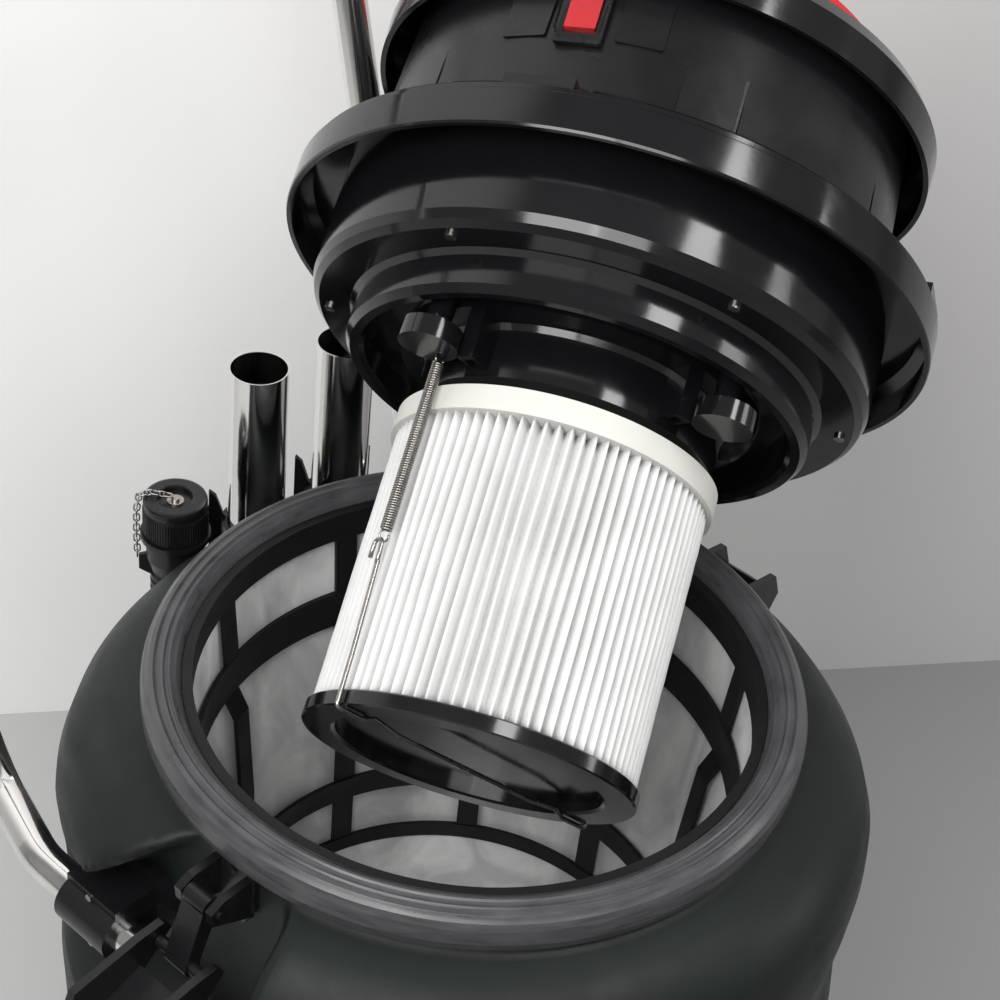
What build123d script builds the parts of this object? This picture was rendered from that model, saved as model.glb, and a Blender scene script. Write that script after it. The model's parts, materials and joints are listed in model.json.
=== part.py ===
"""Wet and dry dust collector with its motor head tilted off the tank. Units are millimetres.

Row frame: origin on the floor under the tank's axis, +Z up, +Y to the rear (handle and wands),
-X the left latch. The head is drawn in its own plane, whose Z is the head's axis.
"""

import os
from math import cos, hypot, radians, sin

from build123d import *

os.makedirs("parts", exist_ok=True)

# ---- driving dimensions: tank ----
RIM_Z = 660.0  # height of the rim seal's top above the floor
RIM_R = 210.0  # rim seal outer radius
RIM_WIDTH = 25.0
RIM_DEPTH = 27.0
RIM_INNER_DEPTH = 20.0
TANK_WALL = 5.0
TANK_BOTTOM_Z = 120.0
NECK_R = 201.0
BELLY_R = 262.0
LIP_Z = -14.0  # the moulded lip inside the seal, from the rim
INLET_Z = RIM_Z - 250.0
INLET_R = 22.5
TANK_OUTER = [  # (radius, height from the rim)
    (NECK_R, LIP_Z),
    (NECK_R, -30.0),
    (222.0, -34.0),
    (243.0, -48.0),
    (257.0, -66.0),
    (BELLY_R, -88.0),
    (BELLY_R, -125.0),
    (257.0, -180.0),
    (264.0, -225.0),
    (261.0, -330.0),
    (250.0, -470.0),
    (238.0, -520.0),
    (215.0, TANK_BOTTOM_Z - RIM_Z),
    (0.0, TANK_BOTTOM_Z - RIM_Z),
]
SHOULDER_POINTS = 9  # points of TANK_OUTER down to the fullest radius below the waist
POCKET_X = 200.0
POCKET_DEPTH = 100.0
POCKET = [  # (y, height from the rim), clockwise from the low front corner
    (-45.0, -190.0),
    (-45.0, -26.0),
    (22.0, -26.0),
    (45.0, -56.0),
    (88.0, -90.0),
    (190.0, -104.0),
    (190.0, -175.0),
    (110.0, -190.0),
]

# ---- driving dimensions: basket and felt ----
CAGE_R = 178.0
CAGE_DEPTH = 326.0
CAGE_LOW_R = 160.0
CAGE_WALL = 3.0
STRAP_WIDTH = 16.0
STRAPS = 10
STRAP_START = 1.0
FELT_WALL = 3.0

# ---- driving dimensions: head, radii and heights along the head's axis ----
SKIRT_R = 217.0
SKIRT_HEIGHT = 30.0
PLUG_R = 186.0
FLANGE_H = -48.0
STEP_R = 154.0
STEP_H = -75.0
HUB_R = 99.0
HUB_H = -110.0
PAN_WALL = 4.0
HOUSING_R = 176.0
HOUSING_TOP_H = 150.0
HOUSING_BASE_H = 38.5
HOUSING_TAPER_H = 44.0
HOUSING_NARROWING = 5.0
SEAM_ANGLES = (-122.0, -68.0, -55.0, -15.0, 25.0, 65.0, 105.0, 145.0, 185.0)
COVER_R = 190.0
CATCH_PADS = 4
BOSS_R = 128.0
BOSS_ANGLES = (-27.0, -117.0, 153.0)
HOOK_ANGLES = (-108.0, -36.0, 72.0)
FLOAT_R = 32.0
FLOAT_H = -155.5
PAN_SCREW_PCD_R = 171.4
PAN_SCREWS = 6
PAN_SCREW_START = 15.0

# ---- driving dimensions: cartridge ----
CART_R = 106.0
CART_TOP_H = -112.7
CART_RING = 16.1
CART_LENGTH = 208.0
CART_CAP = 10.1
CART_BORE_R = 75.0
WIRE_R = 1.5
SPRING_R = 4.0
SPRING_PITCH_R = 113.0
BAIL_ANGLE = -120.0

# ---- driving dimensions: switch ----
SWITCH_H = 106.0
BEZEL_WIDTH = 31.0
BEZEL_HEIGHT = 45.0
ROCKER_WIDTH = 20.0
PIVOT_R = 1.5
BLANK_TURN = 12.2

# ---- driving dimensions: latches (heights from the rim) ----
LATCH_PLATE = 4.0
EAR_THICK = 5.5
LINK_X = 229.0
LINK_Z = -43.0
LINK_PIN_R = 2.5
LEVER_X = 243.0
LEVER_Z = -84.0
LEVER_PIN_R = 4.0
LEVER_HALF_WIDTH = 26.0

# ---- driving dimensions: wands, drain, handle, wheels ----
WAND_R = 21.0
WAND_WALL = 1.6
SOCKET_R = 20.2
SOCKET_DEPTH = 60.0
WAND_TOP_Z = RIM_Z + 49.0
WAND_PLACES = {"wand_left": (66.5, 278.0), "wand_right": (136.5, 263.0)}
CUP_HEIGHT = 40.0
CUP_FLOOR = 4.0
CLIP_HEIGHT = 40.0
CLIP_BASE_Z = RIM_Z - 126.0
FLARE_R = 34.5
FLARE_TOP_Z = RIM_Z - 62.0
FLARE_TURN = 56.0
DRAIN_XY = (-6.0, 283.0)
DRAIN_PORT_Z = 175.0
ELBOW_R = 16.8
DRAIN_BORE_R = 13.0
CUFF_Z = RIM_Z - 96.0
CAP_BASE_Z = RIM_Z - 61.0
CAP_TOP_Z = RIM_Z - 31.0
CAP_R = 23.0
CAP_RECESS = 4.0
TUBE_R = 12.5
HANDLE_CORNER = (206.0, 242.0, RIM_Z - 118.0)
HANDLE_TOP = (202.0, 372.0, RIM_Z + 380.0)
CLAMP_X = 232.0
CLAMP_Y = 88.0
CLAMP_Z = RIM_Z - 126.0
CLAMP_LENGTH = 46.0
CLAMP_SCREW_SPAN = 20.5
REAR_WHEEL_R = 100.0
REAR_WHEEL_WIDTH = 38.0
TYRE_SEAT_R = 78.0
REAR_WHEEL_X = 222.0
REAR_AXLE = (0.0, 205.0, 100.0)
AXLE_R = 8.0
CASTER_WHEEL_R = 37.5
CASTER_TRAIL = 22.0
CASTER_STEM_R = 6.0
CASTER_PIN_R = 4.0
CASTER_PLACES = {"left": (-175.0, -190.0), "right": (175.0, -190.0)}
DECK_Z = 104.0
DECK_THICK = 6.0
FIT = 0.05
GAP = 0.4

# ---- planes and axes ----
HEAD = Plane(
    origin=(186.2, 80.0, RIM_Z + 149.9),
    x_dir=(0.3588, -0.9194, 0.1609),
    z_dir=(0.74963, 0.38657, 0.53723),
)
HEAD_SECTION = Plane(origin=HEAD.origin, x_dir=HEAD.x_dir, z_dir=-HEAD.y_dir)
HEAD_AXIS = Axis(HEAD.origin, HEAD.z_dir)
TANK_SECTION = Plane.XZ
SWITCH_PLANE = Plane(
    origin=HEAD.origin + HEAD.z_dir * SWITCH_H - HEAD.y_dir * (HOUSING_R - 1.0),
    x_dir=HEAD.x_dir,
    z_dir=-HEAD.y_dir,
)
ROCKER_PLANE = Plane(origin=SWITCH_PLANE.origin, x_dir=-SWITCH_PLANE.y_dir, z_dir=SWITCH_PLANE.x_dir)
DRAIN_SECTION = Plane(origin=(*DRAIN_XY, 0.0), x_dir=(1.0, 0.0, 0.0), z_dir=(0.0, -1.0, 0.0))
DRAIN_AXIS = Axis((*DRAIN_XY, 0.0), (0.0, 0.0, 1.0))


def save(piece, name):
    """Label a finished piece and write its STEP file."""
    piece.part.label = name
    export_step(piece.part, f"parts/{name}.step")


def walled(path, wall):
    """Close an open path into an outline of even thickness, offset to the path's right."""
    normals = []
    for (x0, y0), (x1, y1) in zip(path, path[1:]):
        run = hypot(x1 - x0, y1 - y0)
        normals.append(((y1 - y0) / run, (x0 - x1) / run))
    inner = []
    for i, (x, y) in enumerate(path):
        nx0, ny0 = normals[max(i - 1, 0)]
        nx1, ny1 = normals[min(i, len(normals) - 1)]
        scale = wall / (1.0 + nx0 * nx1 + ny0 * ny1)
        inner.append((x + (nx0 + nx1) * scale, y + (ny0 + ny1) * scale))
    return list(path) + inner[::-1]


def grown(points, wall):
    """Move a clockwise outline outwards by an even distance."""
    loop = [points[-1], *points, points[0]]
    return walled(loop, -wall)[len(loop):][::-1][1:-1]


def turned(name, outlines, section=TANK_SECTION, axis=Axis.Z):
    """Revolve one or more closed outlines of (radius, height) points into a node."""
    with BuildPart() as piece:
        with BuildSketch(section):
            for outline in outlines:
                with BuildLine():
                    Polyline(*outline, close=True)
                make_face()
        revolve(axis=axis)
    save(piece, name)
    return piece


def head_turned(name, *outlines):
    """Revolve outlines about the head's axis."""
    return turned(name, outlines, HEAD_SECTION, HEAD_AXIS)


def ring(r0, r1, z0, z1):
    """Return a rectangular section between two radii and two heights."""
    return [(r0, z0), (r1, z0), (r1, z1), (r0, z1)]


def tank_height(offset):
    """Return a height above the floor from a height above the rim."""
    return RIM_Z + offset


def polar(radius, turn):
    """Return a point at a radius and an angle in degrees."""
    return (radius * cos(radians(turn)), radius * sin(radians(turn)))


# ======================= tank =======================
def side_pockets(depth_x, grow):
    """Return the blocks that the flat pockets of the latches and handle brackets leave out."""
    with BuildPart() as pockets:
        for sign in (-1.0, 1.0):
            with BuildSketch(Plane.YZ.offset(sign * depth_x)):
                with BuildLine():
                    Polyline(*[(y, tank_height(z)) for y, z in grown(POCKET, grow)], close=True)
                make_face()
            extrude(amount=sign * POCKET_DEPTH)
    return pockets.part


def make_tank():
    """Rotomoulded drum with its side pockets and its inlet and drain holes."""
    outer = [(r, tank_height(z)) for r, z in TANK_OUTER]
    inner = [(NECK_R - TANK_WALL, tank_height(0.0))]
    inner += [(r - TANK_WALL, z) for r, z in outer[1:-1]]
    inner[-1] = (inner[-1][0], outer[-1][1] + TANK_WALL)
    inner += [(0.0, outer[-1][1] + TANK_WALL), (0.0, tank_height(0.0))]
    inner_pockets = side_pockets(POCKET_X - TANK_WALL, TANK_WALL)
    outer_pockets = side_pockets(POCKET_X, 0.0)
    with BuildPart() as cavity:
        with BuildSketch(TANK_SECTION):
            with BuildLine():
                Polyline(*inner, close=True)
            make_face()
        revolve(axis=Axis.Z)
        add(inner_pockets, mode=Mode.SUBTRACT)
    with BuildPart() as tank:
        with BuildSketch(TANK_SECTION):
            with BuildLine():
                Polyline(*outer, (0.0, tank_height(LIP_Z)), close=True)
            make_face()
        revolve(axis=Axis.Z)
        add(outer_pockets, mode=Mode.SUBTRACT)
        add(cavity.part, mode=Mode.SUBTRACT)
        with BuildSketch(Plane.XZ.offset(200.0)):
            with Locations((0.0, INLET_Z)):
                Circle(INLET_R + 4.0)
        extrude(amount=100.0, mode=Mode.SUBTRACT)
        with BuildSketch(Plane.XZ.offset(-300.0)):
            with Locations((DRAIN_XY[0], DRAIN_PORT_Z)):
                Circle(17.0)
        extrude(amount=100.0, mode=Mode.SUBTRACT)
    save(tank, "tank_shell")


def make_rim_seal():
    """Grooved rubber bead that caps the tank's lip."""
    inner_r = RIM_R - RIM_WIDTH
    lip_in = NECK_R - TANK_WALL
    grooves = (195.0, 201.0)
    outline = [
        (inner_r, 4.0 - RIM_INNER_DEPTH),
        (inner_r, -8.0),
        (inner_r + 3.0, -3.0),
        (inner_r + 7.0, -0.5),
    ]
    for r in grooves:
        outline += [(r - 1.2, -0.1), (r, -1.3), (r + 1.2, -0.1)]
    outline += [
        (RIM_R - 5.0, -1.0),
        (RIM_R - 1.5, -4.5),
        (RIM_R, -9.0),
        (RIM_R, -20.0),
        (RIM_R - 2.0, -RIM_DEPTH),
        (NECK_R + FIT, -RIM_DEPTH),
        (NECK_R + FIT, LIP_Z + FIT),
        (lip_in - FIT, LIP_Z + FIT),
        (lip_in - FIT, -RIM_INNER_DEPTH),
        (inner_r + 4.0, -RIM_INNER_DEPTH),
    ]
    turned("rim_seal", [[(r, tank_height(z)) for r, z in outline]])


def make_cage():
    """Basket frame: top lip, wide band, stepped straps and two low bands."""
    low = CAGE_LOW_R
    bands = [
        ring(CAGE_R, 184.6, tank_height(-12.0), tank_height(-8.0)),
        ring(CAGE_R, CAGE_R + CAGE_WALL, tank_height(-30.0), tank_height(-8.0)),
        ring(CAGE_R - 4.0, CAGE_R - 1.0, tank_height(-105.0), tank_height(-75.0)),
        ring(low - 2.0, low + 1.0, tank_height(-270.0), tank_height(-250.0)),
        ring(low - 2.0, low + 1.0, tank_height(-CAGE_DEPTH), tank_height(13.0 - CAGE_DEPTH)),
    ]
    path = [
        (CAGE_R + CAGE_WALL, -28.0),
        (CAGE_R - 1.0, -78.0),
        (CAGE_R - 1.0, -106.0),
        (CAGE_R - 9.0, -122.0),
        (low + 3.0, -200.0),
        (low + 1.5, -CAGE_DEPTH),
    ]
    strap = walled([(r, tank_height(z)) for r, z in path], CAGE_WALL)
    with BuildPart() as cage:
        for band in bands:
            with BuildSketch(TANK_SECTION):
                with BuildLine():
                    Polyline(*band, close=True)
                make_face()
            revolve(axis=Axis.Z)
        for i in range(STRAPS):
            turn = radians(STRAP_START + i * 360.0 / STRAPS)
            radial = (cos(turn), sin(turn), 0.0)
            side = Plane(origin=(0.0, 0.0, 0.0), x_dir=radial, z_dir=(sin(turn), -cos(turn), 0.0))
            with BuildSketch(side.offset(-STRAP_WIDTH / 2.0)):
                with BuildLine():
                    Polyline(*strap, close=True)
                make_face()
            extrude(amount=STRAP_WIDTH)
    save(cage, "basket_cage")


def make_felt():
    """Felt bag that lines the cage, closed at the bottom."""
    path = [
        (CAGE_R + CAGE_WALL + GAP, -30.0),
        (CAGE_R + GAP, -74.0),
        (CAGE_R + GAP, -113.0),
        (CAGE_R - 8.0 + CAGE_WALL, -136.0),
        (CAGE_LOW_R + 4.0, -200.0),
        (CAGE_LOW_R + 3.0, -CAGE_DEPTH - GAP),
        (0.0, -CAGE_DEPTH - GAP),
    ]
    path = [(r, tank_height(z)) for r, z in path]
    outline = walled(path[::-1], FELT_WALL)
    outline[-1] = (0.0, outline[-1][1])
    turned("felt_bag", [outline])


def make_latch_bases():
    """Screwed plates with two ears that carry each latch's link."""
    plate = [(-13.0, -28.0), (13.0, -28.0), (18.0, -34.0), (18.0, -58.0), (9.0, -76.0)]
    plate += [(-9.0, -76.0), (-18.0, -58.0), (-18.0, -34.0)]
    ear = [(POCKET_X + 2.0, -34.0), (LINK_X - 4.0, LINK_Z + 8.0), (LINK_X + 6.0, LINK_Z + 3.0)]
    ear += [(LINK_X + 5.0, LINK_Z - 7.0), (POCKET_X + 2.0, -66.0)]
    with BuildPart() as bases:
        for sign in (-1.0, 1.0):
            with BuildSketch(Plane.YZ.offset(sign * POCKET_X)):
                with BuildLine():
                    Polyline(*[(y, tank_height(z)) for y, z in plate], close=True)
                make_face()
            extrude(amount=sign * LATCH_PLATE)
            for y in (-16.0, 16.0 - EAR_THICK):
                with BuildSketch(Plane.XZ.offset(-y - EAR_THICK)):
                    with BuildLine():
                        Polyline(*[(sign * x, tank_height(z)) for x, z in ear], close=True)
                    make_face()
                extrude(amount=EAR_THICK)
        with BuildSketch(Plane.XZ.offset(-40.0)):
            with Locations((LINK_X, tank_height(LINK_Z)), (-LINK_X, tank_height(LINK_Z))):
                Circle(LINK_PIN_R + FIT)
        extrude(amount=80.0, mode=Mode.SUBTRACT)
    save(bases, "latch_bases")


def make_link(name, sign):
    """Forged link between the base's ears and the lever's T bar, with both pins in one piece."""
    with BuildPart() as link:
        with BuildSketch(Plane.XZ.offset(-9.0)):
            with Locations((sign * LINK_X, tank_height(LINK_Z))):
                Circle(6.5)
            with Locations((sign * LEVER_X, tank_height(LEVER_Z))):
                Circle(6.0)
            with BuildLine():
                Polyline(
                    (sign * (LINK_X + 6.0), tank_height(LINK_Z - 1.0)),
                    (sign * (LINK_X - 6.0), tank_height(LINK_Z - 4.0)),
                    (sign * (LEVER_X - 5.5), tank_height(LEVER_Z + 1.0)),
                    (sign * (LEVER_X + 5.5), tank_height(LEVER_Z + 2.0)),
                    close=True,
                )
            make_face()
        extrude(amount=18.0)
        with BuildSketch(Plane.XZ.offset(-18.0)):
            with Locations((sign * LINK_X, tank_height(LINK_Z))):
                Circle(LINK_PIN_R)
        extrude(amount=36.0)
        with BuildSketch(Plane.XZ.offset(-20.0)):
            with Locations((sign * LEVER_X, tank_height(LEVER_Z))):
                Circle(LEVER_PIN_R)
        extrude(amount=40.0)
    save(link, name)


def make_lever(name, sign):
    """U-shaped lever: two side plates, a back web and the claw that grips the head's skirt."""
    side = [
        (sign * (LEVER_X - 10.0), tank_height(LEVER_Z + 4.0)),
        (sign * (LEVER_X - 4.0), tank_height(LEVER_Z + 11.0)),
        (sign * (LEVER_X + 14.0), tank_height(LEVER_Z + 10.0)),
        (sign * (LEVER_X + 62.0), tank_height(LEVER_Z + 2.0)),
        (sign * (LEVER_X + 70.0), tank_height(LEVER_Z - 18.0)),
        (sign * (LEVER_X + 60.0), tank_height(LEVER_Z - 34.0)),
        (sign * (LEVER_X + 10.0), tank_height(LEVER_Z - 16.0)),
    ]
    web = [
        (sign * (LEVER_X + 12.0), tank_height(LEVER_Z - 16.7)),
        (sign * (LEVER_X + 60.0), tank_height(LEVER_Z - 34.0)),
        (sign * (LEVER_X + 70.0), tank_height(LEVER_Z - 18.0)),
        (sign * (LEVER_X + 66.0), tank_height(LEVER_Z - 16.0)),
        (sign * (LEVER_X + 58.5), tank_height(LEVER_Z - 28.5)),
        (sign * (LEVER_X + 14.0), tank_height(LEVER_Z - 12.0)),
    ]
    with BuildPart() as lever:
        for y in (-LEVER_HALF_WIDTH, LEVER_HALF_WIDTH - EAR_THICK):
            with BuildSketch(Plane.XZ.offset(-y - EAR_THICK)):
                with BuildLine():
                    Polyline(*side, close=True)
                make_face()
            extrude(amount=EAR_THICK)
        with BuildSketch(Plane.XZ.offset(-LEVER_HALF_WIDTH)):
            with BuildLine():
                Polyline(*web, close=True)
            make_face()
        extrude(amount=2.0 * LEVER_HALF_WIDTH)
        for y in (-22.5, 20.5):
            with BuildSketch(Plane.XZ.offset(-y - 2.0)):
                with Locations((sign * LEVER_X, tank_height(LEVER_Z))):
                    Circle(LEVER_PIN_R + FIT)
            extrude(amount=2.0, mode=Mode.SUBTRACT)
    save(lever, name)


# ======================= tank fittings =======================
def make_inlet():
    """Suction inlet: a stub with a flange outside the tank."""
    with BuildPart() as inlet:
        with BuildSketch(Plane.XZ.offset(250.0)):
            with Locations((0.0, INLET_Z)):
                Circle(INLET_R + 3.8)
        extrude(amount=70.0)
        with BuildSketch(Plane.XZ.offset(265.0)):
            with Locations((0.0, INLET_Z)):
                Circle(INLET_R + 16.0)
        extrude(amount=8.0)
        with BuildSketch(Plane.XZ.offset(249.0)):
            with Locations((0.0, INLET_Z)):
                Circle(INLET_R)
        extrude(amount=80.0, mode=Mode.SUBTRACT)
    save(inlet, "inlet_socket")


def corrugated(z0, z1, crest, root, pitch):
    """Return the outline of one side of a ribbed hose between two heights."""
    count = int((z1 - z0) / pitch)
    step = (z1 - z0) / count
    points = []
    for i in range(count):
        z = z0 + i * step
        points += [(root, z), (root, z + 0.3 * step), (crest, z + 0.5 * step), (crest, z + 0.8 * step)]
    points.append((root, z1))
    return points


def make_drain():
    """Drain elbow, ribbed hose, cuff with its ring, and the screw cap."""
    with BuildPart() as elbow:
        with BuildSketch(Plane.XZ.offset(-236.0)):
            with Locations((DRAIN_XY[0], DRAIN_PORT_Z)):
                Circle(ELBOW_R)
        extrude(amount=-(DRAIN_XY[1] + 15.0 - 236.0))
        with BuildSketch(Plane.XY.offset(DRAIN_PORT_Z - 15.0)):
            with Locations(DRAIN_XY):
                Circle(ELBOW_R)
        extrude(amount=45.0)
        with BuildSketch(Plane.XZ.offset(-235.0)):
            with Locations((DRAIN_XY[0], DRAIN_PORT_Z)):
                Circle(DRAIN_BORE_R)
        extrude(amount=-(DRAIN_XY[1] - 235.0), mode=Mode.SUBTRACT)
        with BuildSketch(Plane.XY.offset(DRAIN_PORT_Z)):
            with Locations(DRAIN_XY):
                Circle(DRAIN_BORE_R)
        extrude(amount=45.0, mode=Mode.SUBTRACT)
    save(elbow, "drain_elbow")
    hose = corrugated(DRAIN_PORT_Z + 30.0, CUFF_Z, crest=18.5, root=16.0, pitch=7.0)
    hose += [(DRAIN_BORE_R, CUFF_Z), (DRAIN_BORE_R, DRAIN_PORT_Z + 30.0)]
    turned("drain_hose", [hose], DRAIN_SECTION, DRAIN_AXIS)
    cuff = [
        (DRAIN_BORE_R, CUFF_Z),
        (17.0, CUFF_Z),
        (21.0, CUFF_Z + 14.0),
        (21.0, CAP_BASE_Z - 4.0),
        (25.0, CAP_BASE_Z - 4.0),
        (25.0, CAP_BASE_Z),
        (17.0, CAP_BASE_Z),
        (17.0, CAP_BASE_Z + 18.0),
        (DRAIN_BORE_R, CAP_BASE_Z + 18.0),
    ]
    turned("drain_cuff", [cuff], DRAIN_SECTION, DRAIN_AXIS)
    with BuildPart() as cap:
        with BuildSketch(Plane.XY.offset(CAP_BASE_Z + 0.5)):
            with Locations(DRAIN_XY):
                Circle(CAP_R - 1.0)
            with Locations(DRAIN_XY), PolarLocations(CAP_R - 1.0, 28):
                Circle(1.4)
        extrude(amount=CAP_TOP_Z - CAP_BASE_Z - 0.5)
        with BuildSketch(Plane.XY.offset(CAP_BASE_Z)):
            with Locations(DRAIN_XY):
                Circle(17.0 + 0.5)
        extrude(amount=20.0, mode=Mode.SUBTRACT)
        with BuildSketch(Plane.XY.offset(CAP_TOP_Z - CAP_RECESS)):
            with Locations(DRAIN_XY):
                Circle(12.0)
        extrude(amount=CAP_RECESS + 1.0, mode=Mode.SUBTRACT)
    save(cap, "drain_cap")
    with BuildPart() as rivet:
        with BuildSketch(Plane.XY.offset(CAP_TOP_Z - CAP_RECESS)):
            with Locations(DRAIN_XY):
                Circle(6.0)
        extrude(amount=1.2)
        with BuildSketch(Plane.XY.offset(CAP_TOP_Z - CAP_RECESS + 1.2)):
            with Locations(DRAIN_XY):
                Circle(3.0)
        extrude(amount=2.0)
    save(rivet, "cap_rivet")


def make_clips():
    """Spring clips that hold the wands against the tank's shoulder."""
    blade = [
        (WAND_R + 1.0, CLIP_BASE_Z),
        (FLARE_R, CLIP_BASE_Z),
        (FLARE_R, FLARE_TOP_Z),
        (FLARE_R - 5.0, FLARE_TOP_Z - 4.0),
        (WAND_R + 3.0, FLARE_TOP_Z - 20.0),
        (WAND_R + 1.0, FLARE_TOP_Z - 22.0),
    ]
    shoulder = [(r, tank_height(z)) for r, z in TANK_OUTER[:SHOULDER_POINTS]]
    with BuildPart() as clips:
        for x, y in WAND_PLACES.values():
            away = hypot(x, y)
            outward = (x / away, y / away, 0.0)
            local = Plane(origin=(x, y, CLIP_BASE_Z), x_dir=outward, z_dir=(0.0, 0.0, 1.0))
            with BuildSketch(local):
                with Locations((-WAND_R - 12.0, 0.0)):
                    Rectangle(24.0, 26.0)
                Circle(WAND_R + 4.5)
                with Locations((WAND_R + 4.0, 0.0)):
                    Rectangle(20.0, 24.0, mode=Mode.SUBTRACT)
            extrude(amount=CLIP_HEIGHT)
            for turn in (-FLARE_TURN, FLARE_TURN):
                side = (local.x_dir * cos(radians(turn)) + local.y_dir * sin(radians(turn))).normalized()
                standing = Plane(origin=(x, y, 0.0), x_dir=side, z_dir=side.cross(Vector(0.0, 0.0, 1.0)))
                with BuildSketch(standing):
                    with BuildLine():
                        Polyline(*blade, close=True)
                    make_face()
                extrude(amount=1.6, both=True)
            with BuildSketch(local):
                Circle(WAND_R + GAP)
            extrude(amount=CLIP_HEIGHT + 60.0, mode=Mode.SUBTRACT)
        with BuildSketch(TANK_SECTION):
            with BuildLine():
                Polyline(*shoulder, (0.0, shoulder[-1][1]), (0.0, shoulder[0][1]), close=True)
            make_face()
        revolve(axis=Axis.Z, mode=Mode.SUBTRACT)
    save(clips, "wand_clips")


def make_wands():
    """Two plated suction tubes with bored sockets, stored upright behind the tank, and their cups."""
    wand_base = DECK_Z + DECK_THICK + CUP_FLOOR + 0.5
    for name, place in WAND_PLACES.items():
        with BuildPart() as wand:
            with BuildSketch(Plane.XY.offset(wand_base)):
                with Locations(place):
                    Circle(WAND_R)
                    Circle(WAND_R - WAND_WALL, mode=Mode.SUBTRACT)
            extrude(amount=WAND_TOP_Z - wand_base)
            with BuildSketch(Plane.XY.offset(WAND_TOP_Z - SOCKET_DEPTH)):
                with Locations(place):
                    Circle(SOCKET_R)
            extrude(amount=SOCKET_DEPTH + 1.0, mode=Mode.SUBTRACT)
        save(wand, name)
    with BuildPart() as cups:
        for place in WAND_PLACES.values():
            with BuildSketch(Plane.XY.offset(DECK_Z + DECK_THICK)):
                with Locations(place):
                    Circle(WAND_R + 4.0)
            extrude(amount=CUP_HEIGHT)
            with BuildSketch(Plane.XY.offset(DECK_Z + DECK_THICK + CUP_FLOOR)):
                with Locations(place):
                    Circle(WAND_R + GAP)
            extrude(amount=CUP_HEIGHT, mode=Mode.SUBTRACT)
    save(cups, "wand_cups")


# ======================= handle =======================
def make_handle():
    """Bent chrome tube: along the tank's sides, up behind it and across the top."""
    cx, cy, cz = HANDLE_CORNER
    tx, ty, tz = HANDLE_TOP
    route = [
        (-CLAMP_X, CLAMP_Y - 36.0, CLAMP_Z),
        (-CLAMP_X, CLAMP_Y + 60.0, CLAMP_Z),
        (-cx, cy, cz),
        (-tx, ty, tz),
        (tx, ty, tz),
        (cx, cy, cz),
        (CLAMP_X, CLAMP_Y + 60.0, CLAMP_Z),
        (CLAMP_X, CLAMP_Y - 36.0, CLAMP_Z),
    ]
    with BuildPart() as handle:
        with BuildLine() as path:
            FilletPolyline(*route, radius=[70.0, 60.0, 60.0, 60.0, 60.0, 70.0])
        with BuildSketch(Plane(origin=route[0], z_dir=(0.0, 1.0, 0.0))):
            Circle(TUBE_R)
            Circle(TUBE_R - 1.5, mode=Mode.SUBTRACT)
        sweep(path=path.line)
    save(handle, "push_handle")


def make_clamps():
    """Octagonal brackets on the tank with half-round covers bolted over the handle's tube."""
    with BuildPart() as brackets:
        for sign in (-1.0, 1.0):
            with BuildSketch(Plane.YZ.offset(sign * POCKET_X)):
                with Locations((CLAMP_Y - 14.0, CLAMP_Z + 3.0)):
                    RegularPolygon(radius=31.0, side_count=8, rotation=22.5)
            extrude(amount=sign * 8.0)
            with BuildSketch(Plane.XZ.offset(-CLAMP_Y - CLAMP_LENGTH / 2.0)):
                with Locations((sign * (POCKET_X + CLAMP_X) / 2.0, CLAMP_Z)):
                    Rectangle(CLAMP_X - POCKET_X - 0.1, 46.0)
            extrude(amount=CLAMP_LENGTH)
        with BuildSketch(Plane.XZ.offset(-CLAMP_Y - 60.0)):
            with Locations((CLAMP_X, CLAMP_Z), (-CLAMP_X, CLAMP_Z)):
                Circle(TUBE_R + 0.1)
        extrude(amount=120.0, mode=Mode.SUBTRACT)
    save(brackets, "handle_brackets")
    with BuildPart() as covers:
        for sign in (-1.0, 1.0):
            with BuildSketch(Plane.XZ.offset(-CLAMP_Y - CLAMP_LENGTH / 2.0)):
                with Locations((sign * CLAMP_X, CLAMP_Z)):
                    Circle(19.0)
                with Locations((sign * (CLAMP_X + 4.0), CLAMP_Z)):
                    Rectangle(8.0, 46.0)
                with Locations((sign * CLAMP_X, CLAMP_Z)):
                    Circle(TUBE_R + 0.1, mode=Mode.SUBTRACT)
                with Locations((sign * (CLAMP_X - 15.0), CLAMP_Z)):
                    Rectangle(30.1, 60.0, mode=Mode.SUBTRACT)
            extrude(amount=CLAMP_LENGTH)
    save(covers, "clamp_covers")


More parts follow.
